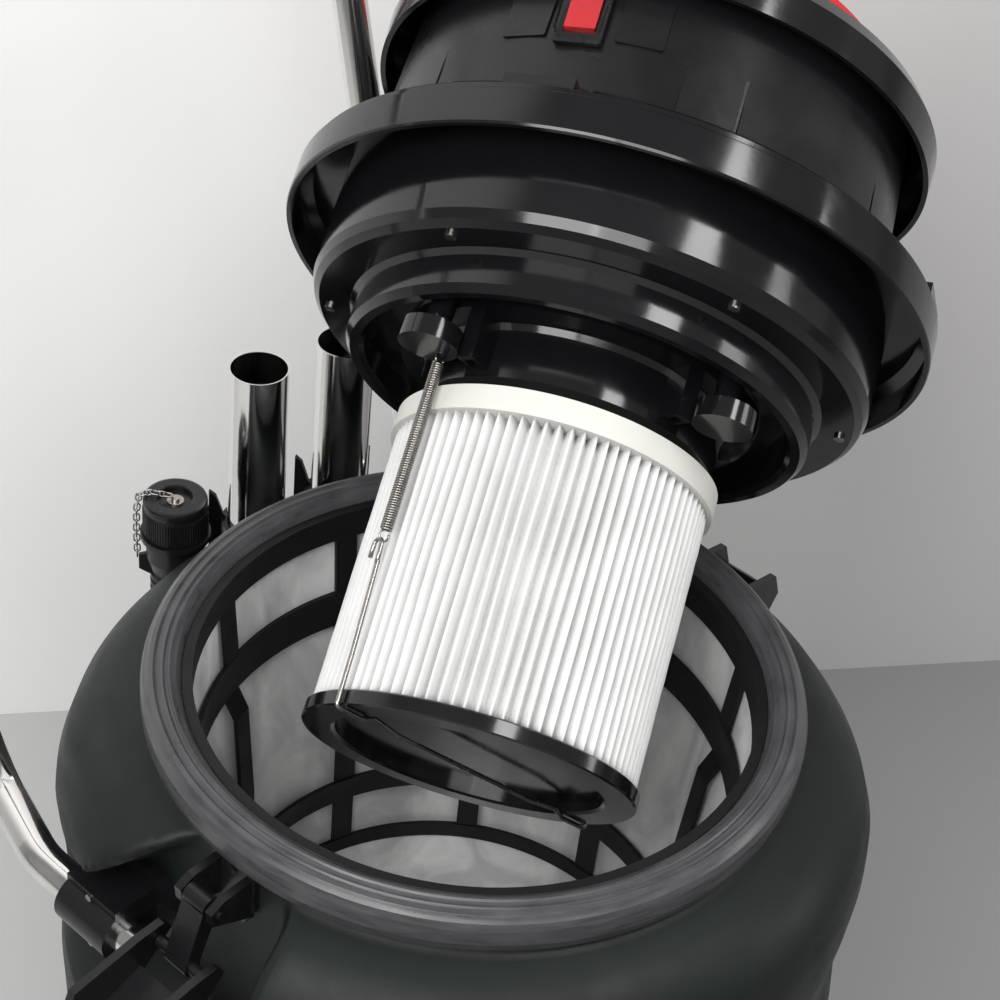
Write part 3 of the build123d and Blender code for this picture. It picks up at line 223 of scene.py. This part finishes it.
def rubber_material(name, color, rough_low, rough_high, rings, ridge_pitch):
    """Moulded rubber with faint circular streaks, dust, and rings of ridges if they have a pitch."""
    mat, tree, shader = new_material(name, color, rough_low)
    dust = add_noise(tree, 40.0, 6.0, (1.0, 1.0, rings))
    colour = add_ramp(tree, dust.outputs["Fac"], color, tuple(c * 1.7 for c in color))
    tree.links.new(colour.outputs["Color"], shader.inputs["Base Color"])
    gloss = add_ramp(tree, dust.outputs["Fac"], rough_low, rough_high)
    tree.links.new(gloss.outputs["Color"], shader.inputs["Roughness"])
    fine = add_noise(tree, 700.0, 2.0)
    normal = add_bump(tree, shader, fine.outputs["Fac"], 0.15, 0.0003)
    if ridge_pitch:
        coords = tree.nodes.new("ShaderNodeTexCoord")
        ridges = tree.nodes.new("ShaderNodeTexWave")
        ridges.wave_type = "RINGS"
        ridges.rings_direction = "Z"
        ridges.inputs["Scale"].default_value = math.tau / (20.0 * ridge_pitch)
        tree.links.new(coords.outputs["Object"], ridges.inputs["Vector"])
        add_bump(tree, shader, ridges.outputs["Fac"], 0.4, 0.0005, normal)
    return mat


MATERIALS = {
    "tank_plastic": plastic(
        "tank_matte", (0.0050, 0.0078, 0.0074), 0.44, 0.56, 1400.0, 0.25, Specular_IOR_Level=0.27
    ),
    "seal_rubber": rubber_material("seal_rubber", (0.042, 0.042, 0.045), 0.24, 0.44, 8.0, 0.0046),
    "cage_plastic": plastic(
        "cage_matte", (0.006, 0.005, 0.006), 0.45, 0.6, 900.0, 0.2, Specular_IOR_Level=0.3
    ),
    "felt": felt_material(),
    "gloss_black": plastic("gloss_black", (0.005, 0.005, 0.006), 0.08, 0.15, 350.0, 0.03, 1.4),
    "satin_black": plastic(
        "satin_black", (0.006, 0.006, 0.007), 0.24, 0.36, 900.0, 0.12, 1.4, Specular_IOR_Level=0.36
    ),
    "chrome": metal("chrome_plate", (0.80, 0.79, 0.77), 0.07, 0.16, (1.0, 1.0, 0.02)),
    "zinc_steel": metal("zinc_plate", (0.40, 0.38, 0.36), 0.20, 0.34, (1.0, 1.0, 1.0)),
    "filter_white": pleat_material(),
    "ring_white": plastic("ring_moulded", (0.66, 0.65, 0.61), 0.42, 0.55, 500.0, 0.15, 1.08),
    "red_plastic": plastic("red_gloss", (0.55, 0.012, 0.02), 0.15, 0.24, 300.0, 0.05, 1.15),
    "clear_plastic": clear_material(),
    "wheel_rubber": rubber_material("wheel_rubber", (0.018, 0.018, 0.018), 0.6, 0.8, 1.0, 0.0),
    "wheel_plastic": plastic("wheel_satin", (0.045, 0.045, 0.047), 0.35, 0.5, 600.0, 0.2),
    "copper_iron": metal("laminated_iron", (0.30, 0.26, 0.22), 0.35, 0.5, (1.0, 1.0, 6.0)),
    "alloy": metal("cast_alloy", (0.55, 0.55, 0.56), 0.35, 0.5, (1.0, 1.0, 1.0), 0.2),
    "float_white": plastic("float_satin", (0.70, 0.70, 0.68), 0.35, 0.45, 400.0, 0.1, 1.08),
}
NODE_SLOTS = {s["node"]: s["material_slot"] for s in frame["record"]["subparts"]}


def dress_cad_nodes():
    """Give every CAD node its slot's material."""
    for name, node in nodes.items():
        mat = MATERIALS[NODE_SLOTS[name]]
        node.data.materials.clear()
        node.data.materials.append(mat)


# ======================= mesh helpers =======================
def finish_mesh(name, verts, faces, slot, body, smooth=True):
    """Make a mesh object, give it its slot's finish and let it ride on a body, if one is named."""
    mesh = bpy.data.meshes.new(name)
    mesh.from_pydata(verts, [], faces)
    mesh.validate()
    bm = bmesh.new()
    bm.from_mesh(mesh)
    bmesh.ops.recalc_face_normals(bm, faces=bm.faces)
    bm.to_mesh(mesh)
    bm.free()
    for face in mesh.polygons:
        face.use_smooth = smooth
    mesh.materials.append(MATERIALS[slot])
    obj = bpy.data.objects.new(name, mesh)
    bpy.context.scene.collection.objects.link(obj)
    if body:
        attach(obj, body)
    return obj


def closed_grid(rows, around, wrap=False):
    """Faces of a grid whose rows are closed loops; wrap also joins the last row to the first."""
    faces = []
    for i in range(rows - 1):
        for j in range(around):
            k = (j + 1) % around
            faces.append((i * around + j, i * around + k, (i + 1) * around + k, (i + 1) * around + j))
    if wrap:
        last = (rows - 1) * around
        faces += [(last + k, last + (k + 1) % around, (k + 1) % around, k) for k in range(around)]
    return faces


def tank_point(radius, turn, z):
    """A point given in the tank's cylinder coordinates, with its height from the rim."""
    return Vector((radius * math.cos(turn), radius * math.sin(turn), RIM_Z + z))


def weld(obj):
    """Merge the coincident points of a lathe's poles and seams."""
    bm = bmesh.new()
    bm.from_mesh(obj.data)
    bmesh.ops.remove_doubles(bm, verts=bm.verts, dist=WELD_DISTANCE)
    bmesh.ops.recalc_face_normals(bm, faces=bm.faces)
    bm.to_mesh(obj.data)
    bm.free()


def tube_along(points, radius, sides):
    """Vertices and faces of a round tube with closed ends along a list of points."""
    verts = []
    normal = None
    for i, p in enumerate(points):
        ahead = points[min(i + 1, len(points) - 1)] - points[max(i - 1, 0)]
        ahead.normalize()
        if normal is None:
            normal = ahead.orthogonal().normalized()
        normal = (normal - ahead * normal.dot(ahead)).normalized()
        other = ahead.cross(normal)
        for k in range(sides):
            a = math.tau * k / sides
            verts.append(p + normal * (radius * math.cos(a)) + other * (radius * math.sin(a)))
    faces = closed_grid(len(points), sides)
    faces.append(tuple(range(sides)))
    faces.append(tuple(len(verts) - sides + k for k in range(sides)))
    return verts, faces


def join(parts):
    """Join several (verts, faces) into one."""
    verts, faces = [], []
    for v, f in parts:
        base = len(verts)
        verts += v
        faces += [tuple(i + base for i in face) for face in f]
    return verts, faces


def smooth_step(edge0, edge1, x):
    """Hermite step between two edges."""
    t = max(0.0, min(1.0, (x - edge0) / (edge1 - edge0)))
    return t * t * (3.0 - 2.0 * t)


# ======================= tank =======================
TANK_PROFILE = [
    (0.201, -0.014),
    (0.201, -0.026),
    (0.204, -0.0315),
    (0.216, -0.035),
    (0.232, -0.041),
    (0.246, -0.052),
    (0.256, -0.066),
    (0.2615, -0.084),
    (0.263, -0.104),
    (0.262, -0.125),
    (0.2595, -0.150),
    (0.2575, -0.172),
    (0.2585, -0.190),
    (0.2630, -0.206),
    (0.2650, -0.225),
    (0.2640, -0.255),
    (0.2620, -0.330),
    (0.2570, -0.400),
    (0.2510, -0.465),
    (0.2450, -0.500),
    (0.2330, -0.525),
    (0.2150, -0.5385),
    (0.1900, -0.540),
]
TANK_AROUND = 256
TANK_ROW = 0.006
TANK_WALL = 0.005
TANK_FLOOR = -0.535
POCKET_X = 0.200
# (direction in degrees, width in degrees, height) of the soft pillows beside each pocket
PILLOWS = ((-128.0, 13.0, 0.003), (-52.0, 13.0, 0.003), (140.0, 20.0, 0.002), (40.0, 20.0, 0.002))


def pocket_depth(y, z):
    """How far, 0 to 1, a point lies within a side pocket, on either side (z is from the rim)."""
    side = smooth_step(-0.062, -0.040, y) * (1.0 - smooth_step(0.150, 0.205, y))
    if y < 0.022:
        top = -0.020
    elif y < 0.088:
        top = -0.020 - (y - 0.022) * 1.05
    else:
        top = -0.089 - (y - 0.088) * 0.14
    upper = smooth_step(-0.010, 0.012, top - z)
    lower = smooth_step(-0.205, -0.180, z)
    return side * upper * lower


def tank_surface(turn, radius, z):
    """Outer tank surface: profile, relief pillows and side pockets."""
    c, s = math.cos(turn), math.sin(turn)
    # arched recess in front, between the shoulder and the waist
    front = math.exp(-(((math.degrees(turn) + 90.0) / 38.0) ** 2))
    band = math.exp(-(((z + 0.150) / 0.038) ** 2))
    radius -= 0.010 * front * band
    shoulder = math.exp(-(((z + 0.10) / 0.05) ** 2))
    for centre, width, amount in PILLOWS:
        away = (math.degrees(turn) - centre + 180.0) % 360.0 - 180.0
        radius += amount * math.exp(-((away / width) ** 2)) * shoulder
    x, y = radius * c, radius * s
    depth = pocket_depth(y, z)
    if abs(x) > POCKET_X:
        x += (math.copysign(POCKET_X, x) - x) * depth
    return Vector((x, y, RIM_Z + z))


def tank_body():
    """Rotomoulded drum with its relief, closed by an inner wall."""
    turns = [math.tau * k / TANK_AROUND for k in range(TANK_AROUND)]
    profile = []
    for (r0, z0), (r1, z1) in zip(TANK_PROFILE, TANK_PROFILE[1:]):
        steps = max(1, int(math.hypot(r1 - r0, z1 - z0) / TANK_ROW))
        profile += [(r0 + (r1 - r0) * i / steps, z0 + (z1 - z0) * i / steps) for i in range(steps)]
    profile.append(TANK_PROFILE[-1])
    verts = []
    for radius, z in profile:
        verts += [tank_surface(turn, radius, z) for turn in turns]
    floor = [(0.0, TANK_PROFILE[-1][1]), (0.0, TANK_FLOOR), (0.186, TANK_FLOOR)]
    for radius, z in floor:
        verts += [tank_point(radius, turn, z) for turn in turns]
    limit = POCKET_X - TANK_WALL
    for radius, z in profile[::-1]:
        for turn in turns:
            p = tank_surface(turn, max(0.0, radius - TANK_WALL), max(z, TANK_FLOOR))
            if abs(p.x) > limit:
                p.x -= math.copysign(TANK_WALL, p.x) * pocket_depth(p.y, z)
            verts.append(p)
    faces = closed_grid(2 * len(profile) + len(floor), TANK_AROUND, wrap=True)
    tank = finish_mesh("tank_body", verts, faces, "tank_plastic", "root")
    weld(tank)
    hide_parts("tank_shell")


# ======================= felt =======================
FELT_AROUND = 360
FELT_LEVELS = 90
FELT_TOP = -0.027
FELT_BOTTOM = -0.3265
FELT_THICK = 0.0024
FELT_FLOOR_DROP = 0.0032
FELT_SEAM = math.radians(96.0)
FELT_LAP = 0.0022
FELT_PROFILE = [
    (0.1816, -0.026),
    (0.1792, -0.074),
    (0.1790, -0.112),
    (0.1735, -0.140),
    (0.1648, -0.200),
    (0.1634, -0.3265),
]


def felt_radius(z):
    """Inner radius of the felt at a height below the rim."""
    for (r0, z0), (r1, z1) in zip(FELT_PROFILE, FELT_PROFILE[1:]):
        if z >= z1:
            return r0 + (r1 - r0) * (z - z0) / (z1 - z0)
    return FELT_PROFILE[-1][0]


def felt_point(turn, z, grow):
    """A point of the felt wall with its lapped seam and folds, moved outwards by grow."""
    away = math.degrees(math.atan2(math.sin(turn - FELT_SEAM), math.cos(turn - FELT_SEAM)))
    lap = FELT_LAP * smooth_step(-0.8, 0.8, away) * (1.0 - smooth_step(14.0, 22.0, away))
    fold = noise.noise(Vector((math.cos(turn) * 2.2, math.sin(turn) * 2.2, z * 5.0 + 3.0)))
    fine = noise.noise(Vector((math.cos(turn) * 7.0, math.sin(turn) * 7.0, z * 14.0)))
    sag = 0.0022 * max(0.0, fold) + 0.0008 * max(0.0, fine)
    return tank_point(felt_radius(z) + grow + lap * 0.7 + sag, turn, z)


def felt_lining():
    """Felt bag: a wall with a lapped seam and soft uneven folds, and a floor disc."""
    turns = [math.tau * k / FELT_AROUND for k in range(FELT_AROUND)]
    heights = [FELT_TOP + (FELT_BOTTOM - FELT_TOP) * i / FELT_LEVELS for i in range(FELT_LEVELS + 1)]
    upper = (0.97, 0.9, 0.75, 0.55, 0.3, 0.08, 0.0)
    lower = (0.0, 0.3, 0.75, 0.97)
    verts = []
    for z in heights:
        verts += [felt_point(turn, z, 0.0004) for turn in turns]
    for share in upper:
        for turn in turns:
            p = felt_point(turn, FELT_BOTTOM, 0.0)
            puff = 0.0
            if share:
                puff = 0.002 * noise.noise(Vector((p.x * share * 14.0, p.y * share * 14.0, 5.0)))
            verts.append(Vector((p.x * share, p.y * share, RIM_Z + FELT_BOTTOM - 0.001 + puff)))
    for share in lower:
        for turn in turns:
            p = felt_point(turn, FELT_BOTTOM, FELT_THICK)
            verts.append(Vector((p.x * share, p.y * share, RIM_Z + FELT_BOTTOM - FELT_FLOOR_DROP)))
    for z in heights[::-1]:
        drop = FELT_FLOOR_DROP if z == heights[-1] else 0.0
        verts += [felt_point(turn, z - drop, FELT_THICK) for turn in turns]
    rows = 2 * len(heights) + len(upper) + len(lower)
    faces = closed_grid(rows, FELT_AROUND, wrap=True)
    felt = finish_mesh("felt_lining", verts, faces, "felt", "root")
    weld(felt)
    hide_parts("felt_bag")


# ======================= cartridge =======================
def pleats():
    """Folded filter cloth: a star of rounded pleats between the two rings."""
    per, levels = 10, 24
    around = PLEATS * per
    outer, inner = CART_R - 0.0032, CART_R - 0.0150
    z_top = CART_TOP - CART_RING - 0.0001
    z_low = CART_TOP - CART_LENGTH + CART_CAP + 0.0001
    verts = []

    def ring(height, inset):
        row = []
        for k in range(around):
            wave = (0.5 + 0.5 * math.cos(math.tau * (k % per) / per)) ** 0.7
            turn = math.tau * k / around
            lean = 0.010 * noise.noise(Vector((math.cos(turn) * 6.0, math.sin(turn) * 6.0, height * 9.0)))
            radius = inner + (outer - inner) * wave - inset
            radius -= 0.0006 * abs(noise.noise(Vector((turn * 20.0, height * 30.0, 2.0)))) * wave
            row.append(head_point(radius, turn + lean, height))
        return row

    for i in range(levels + 1):
        t = i / levels
        verts += ring(z_top + (z_low - z_top) * t, 0.0)
    for i in range(levels + 1):
        t = 1.0 - i / levels
        verts += ring(z_top + (z_low - z_top) * t, PLEAT_THICK)
    faces = closed_grid(2 * (levels + 1), around, wrap=True)
    pack = finish_mesh("pleat_cloth", verts, faces, "filter_white", "cartridge")
    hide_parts("pleat_pack")


def spring_coils(name, turn):
    """Extension spring: close coils and loop ends; the lower loop lies at the bail's hook."""
    per, loop_steps, loop_r = 14, 18, 0.0036
    steps = SPRING_TURNS * per
    coil_r = SPRING_R - SPRING_WIRE
    axis_point = head_point(SPRING_PITCH_R, turn, 0.0)
    radial = head_radial(turn)
    across = HEAD_Z.cross(radial)
    points = []
    for i in range(steps + 1):
        a = math.tau * i / per
        height = SPRING_LOW + (SPRING_TOP - SPRING_LOW) * i / steps
        around_axis = radial * (coil_r * math.cos(a)) + across * (coil_r * math.sin(a))
        points.append(axis_point + HEAD_Z * height + around_axis)
    parts = [tube_along(points, SPRING_WIRE, 6)]
    for end, way in ((SPRING_TOP, 1.0), (SPRING_LOW, -1.0)):
        loop = []
        for i in range(loop_steps + 1):
            a = math.radians(-90.0 + 300.0 * i / loop_steps)
            rise = HEAD_Z * (end + way * loop_r * (1.0 + math.sin(a)))
            loop.append(axis_point + rise + radial * (0.0034 * math.cos(a)))
        parts.append(tube_along(loop, SPRING_WIRE, 6))
    verts, faces = join(parts)
    spring = finish_mesh(name, verts, faces, "zinc_steel", None)
    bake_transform(spring)
    return spring


def bail_hooks():
    """Open hooks that the bail's wire ends in, at the springs' lower loops."""
    parts, steps = [], 12
    rise = HOOK_TOP - HOOK_BEND_R - HOOK_FOOT
    for turn in (BAIL_ANGLE, BAIL_ANGLE + math.pi):
        radial = head_radial(turn)
        across = radial.cross(HEAD_Z)
        foot = head_point(CART_R + 0.0060, turn, HOOK_FOOT)
        points = [foot, foot + HEAD_Z * (rise * 0.5) + radial * 0.0006]
        centre = foot + HEAD_Z * rise + radial * 0.0010 + across * HOOK_BEND_R
        for i in range(steps + 1):
            a = math.pi - math.pi * i / steps
            points.append(centre + (across * math.cos(a) + HEAD_Z * math.sin(a)) * HOOK_BEND_R)
        points.append(centre + across * HOOK_BEND_R - HEAD_Z * HOOK_RETURN)
        parts.append(tube_along(points, HOOK_WIRE, 12))
    verts, faces = join(parts)
    finish_mesh("bail_hooks", verts, faces, "zinc_steel", "cartridge")


# ======================= drain cap chain =======================
def chain_link(centre, along, flat, length, width, wire):
    """One oval link as a closed tube."""
    side = along.cross(flat).normalized()
    steps, sides = 20, 6
    verts = []
    for i in range(steps):
        a = math.tau * i / steps
        ca, sa = math.cos(a), math.sin(a)
        stretch = math.copysign((length - width) / 2, ca) if abs(ca) > 1e-6 else 0.0
        p = centre + along * (stretch + ca * width / 2) + side * (sa * width / 2)
        out = (along * ca + side * sa).normalized()
        for k in range(sides):
            b = math.tau * k / sides
            verts.append(p + out * (wire * math.cos(b)) + flat * (wire * math.sin(b)))
    return verts, closed_grid(steps, sides, wrap=True)


def drain_point(reach, height):
    """A point beside the drain's axis, at a height above the cap's top."""
    return DRAIN + LUG_SIDE * reach + Vector((0.0, 0.0, CAP_TOP_Z + height))


def ribbed_cap():
    """Screw cap: recessed top, rounded rim, and fine ribs around its lower side."""
    ribs, per = 72, 4
    around = ribs * per
    height = 0.0295
    outline = [
        (0.0176, -height),
        (CAP_R - 0.0010, -height),
        (CAP_R - 0.0004, -height + 0.0012),
        (CAP_R - 0.0004, -0.0095),
        (CAP_R - 0.0006, -0.0075),
        (CAP_R - 0.0002, -0.0055),
        (CAP_R - 0.0003, -0.0022),
        (CAP_R - 0.0010, -0.0006),
        (CAP_R - 0.0026, 0.0),
        (CAP_RECESS_R + 0.0016, 0.0),
        (CAP_RECESS_R + 0.0004, -0.0006),
        (CAP_RECESS_R, -0.0018),
        (CAP_RECESS_R, -0.0040),
        (0.0002, -0.0040),
        (0.0002, -0.0095),
        (0.0176, -0.0095),
    ]
    ribbed = (2, 3)
    verts = []
    for i, (radius, z) in enumerate(outline):
        for k in range(around):
            turn = math.tau * k / around
            rib = 0.0007 * (k % per in (0, 1)) if i in ribbed else 0.0
            reach = Vector((math.cos(turn), math.sin(turn), 0.0)) * (radius + rib)
            verts.append(DRAIN + reach + Vector((0.0, 0.0, CAP_TOP_Z + z)))
    faces = closed_grid(len(outline), around, wrap=True)
    cap = finish_mesh("cap_ribbed", verts, faces, NODE_SLOTS["drain_cap"], "cap", False)
    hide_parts("drain_cap")


def cuff_lug():
    """Small rib on the cuff, at the lower end of the chain."""
    side = LUG_SIDE.cross(Vector((0.0, 0.0, 1.0))) * 0.0016
    outline = [(0.0170, -0.050), (0.0262, -0.053), (0.0262, -0.065), (0.0165, -0.071)]
    verts = [drain_point(r, z) + side * sign for sign in (-1.0, 1.0) for r, z in outline]
    faces = [(0, 1, 2, 3), (7, 6, 5, 4)]
    faces += [(i, (i + 1) % 4, 4 + (i + 1) % 4, 4 + i) for i in range(4)]
    finish_mesh("cuff_lug", verts, faces, "satin_black", "root", False)


def cap_chain():
    """Chain from the cap's rivet over the rim and down to the cuff's lug."""
    route = [
        drain_point(0.0050, 0.0012),
        drain_point(0.0170, 0.0034),
        drain_point(0.0252, 0.0010),
        drain_point(0.0272, -0.0120),
        drain_point(0.0276, -0.0320),
        drain_point(0.0272, -0.0560),
    ]
    parts, carry, index = [], 0.0, 0
    for a, b in zip(route, route[1:]):
        run = (b - a).length
        along = (b - a).normalized()
        while carry < run:
            centre = a + along * carry
            flat = along.cross(Vector((0.69, 0.72, 0.0))).normalized()
            if index % 2:
                flat = along.cross(flat).normalized()
            parts.append(chain_link(centre, along, flat, LINK_LENGTH, LINK_WIDTH, LINK_WIRE))
            carry += LINK_PITCH
            index += 1
        carry -= run
    verts, faces = join(parts)
    finish_mesh("cap_chain", verts, faces, "zinc_steel", "root")


# ======================= studio =======================
WALL_ALONG = (0.793, -0.609, 0.0)
CAMERA_PLACE = (-0.76678, -0.61464, RIM_Z + 0.88847)
CAMERA_RIGHT = Vector((0.67371, -0.73358, 0.08933)).normalized()
CAMERA_UP = Vector((0.40371, 0.46659, 0.78696)).normalized()
CAMERA_LENS = 75.6


def area_light(name, place, target, size, power):
    """A rectangular white softbox."""
    data = bpy.data.lights.new(name, "AREA")
    data.shape = "RECTANGLE"
    data.size, data.size_y = size
    data.energy = power
    light = bpy.data.objects.new(name, data)
    bpy.context.scene.collection.objects.link(light)
    light.location = place
    aim = Vector(target) - Vector(place)
    light.rotation_euler = aim.to_track_quat("-Z", "Y").to_euler()


def studio_sheet(name, corners, bright, painted_shade_end, span, see_through=False):
    """A plain matt plane whose colour is painted darker along its own length, a painted light falloff
    into painted shade; the wall lets rays through from behind.
    """
    mesh = bpy.data.meshes.new(name)
    mesh.from_pydata(corners, [], [(0, 1, 2, 3)])
    plane = bpy.data.objects.new(name, mesh)
    bpy.context.scene.collection.objects.link(plane)
    mat, tree, shader = new_material(name + "_painted_falloff", bright, 0.9)
    coords = tree.nodes.new("ShaderNodeTexCoord")
    across = tree.nodes.new("ShaderNodeVectorMath")
    across.operation = "DOT_PRODUCT"
    across.inputs[1].default_value = WALL_ALONG
    # painted light falloff: the colour is painted darker along the wall's direction, as painted shade
    painted_falloff = tree.nodes.new("ShaderNodeMapRange")
    painted_falloff.inputs["From Min"].default_value = span[0]
    painted_falloff.inputs["From Max"].default_value = span[1]
    tree.links.new(coords.outputs["Object"], across.inputs[0])
    tree.links.new(across.outputs["Value"], painted_falloff.inputs["Value"])
    # ramp from the bright colour to the dim colour, which is painted shade
    colour = add_ramp(tree, painted_falloff.outputs["Result"], bright, painted_shade_end, 0.0, 1.0)
    tree.links.new(colour.outputs["Color"], shader.inputs["Base Color"])
    if see_through:
        facing = tree.nodes.new("ShaderNodeNewGeometry")
        clear = tree.nodes.new("ShaderNodeBsdfTransparent")
        mix = tree.nodes.new("ShaderNodeMixShader")
        out = tree.nodes["Material Output"]
        tree.links.new(facing.outputs["Backfacing"], mix.inputs["Fac"])
        tree.links.new(shader.outputs["BSDF"], mix.inputs[1])
        tree.links.new(clear.outputs["BSDF"], mix.inputs[2])
        tree.links.new(mix.outputs["Shader"], out.inputs["Surface"])
    mesh.materials.append(mat)


def studio():
    """Pale floor and wall with a painted light falloff into painted shade, soft lights and the camera at
    the photograph's angle.
    """
    half, high = 9.0, 7.0
    wall_distance = 0.67
    corners = [(-half, -half, 0.0), (half, -half, 0.0), (half, half, 0.0), (-half, half, 0.0)]
    # floor: colour painted darker along its length, a painted shade falloff
    studio_sheet("floor", corners, (0.60, 0.60, 0.595), (0.30, 0.30, 0.30), (-0.5, 0.45))
    back = Vector((0.609, 0.793, 0.0)) * wall_distance
    along = Vector(WALL_ALONG)
    wall = [back - along * half, back + along * half]
    wall = [*wall, wall[1] + Vector((0.0, 0.0, high)), wall[0] + Vector((0.0, 0.0, high))]
    # wall: colour painted darker along its length, a painted shade falloff
    studio_sheet("wall", wall, (0.92, 0.92, 0.91), (0.62, 0.61, 0.61), (-0.15, 0.55), True)
    world = bpy.data.worlds.new("studio")
    bpy.context.scene.world = world
    world.use_nodes = True
    world.node_tree.nodes["Background"].inputs["Color"].default_value = (0.93, 0.93, 0.92, 1.0)
    world.node_tree.nodes["Background"].inputs["Strength"].default_value = 0.32
    area_light("key", (-1.9, -0.3, 2.4), (0.0, 0.1, 0.6), (1.2, 1.6), 48.0)
    area_light("top", (0.2, -1.3, 2.9), (0.1, 0.0, 0.7), (1.5, 0.5), 26.0)
    area_light("fill", (1.9, -2.2, 1.6), (0.1, 0.0, 0.7), (0.6, 1.5), 14.0)
    area_light("front", (-1.15, -0.95, 2.05), (0.0, 0.1, 0.45), (0.7, 0.7), 9.0)
    bpy.context.scene.view_settings.view_transform = "Standard"
    camera = bpy.data.cameras.new("camera")
    camera.lens = CAMERA_LENS
    camera.sensor_width = 36.0
    camera.clip_start = 0.05
    eye = bpy.data.objects.new("camera", camera)
    bpy.context.scene.collection.objects.link(eye)
    toward = CAMERA_RIGHT.cross(CAMERA_UP).normalized()
    turn = Matrix((CAMERA_RIGHT, toward.cross(CAMERA_RIGHT), toward)).transposed().to_4x4()
    eye.matrix_world = Matrix.Translation(CAMERA_PLACE) @ turn
    bpy.context.scene.camera = eye


studio()
dress_cad_nodes()
tank_body()
felt_lining()
pleats()
near_spring = spring_coils("spring_coil_near", BAIL_ANGLE)
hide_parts("bail_springs")
spring_coils("spring_coil_far", BAIL_ANGLE + math.pi)
bail_hooks()
ribbed_cap()
cap_chain()
cuff_lug()
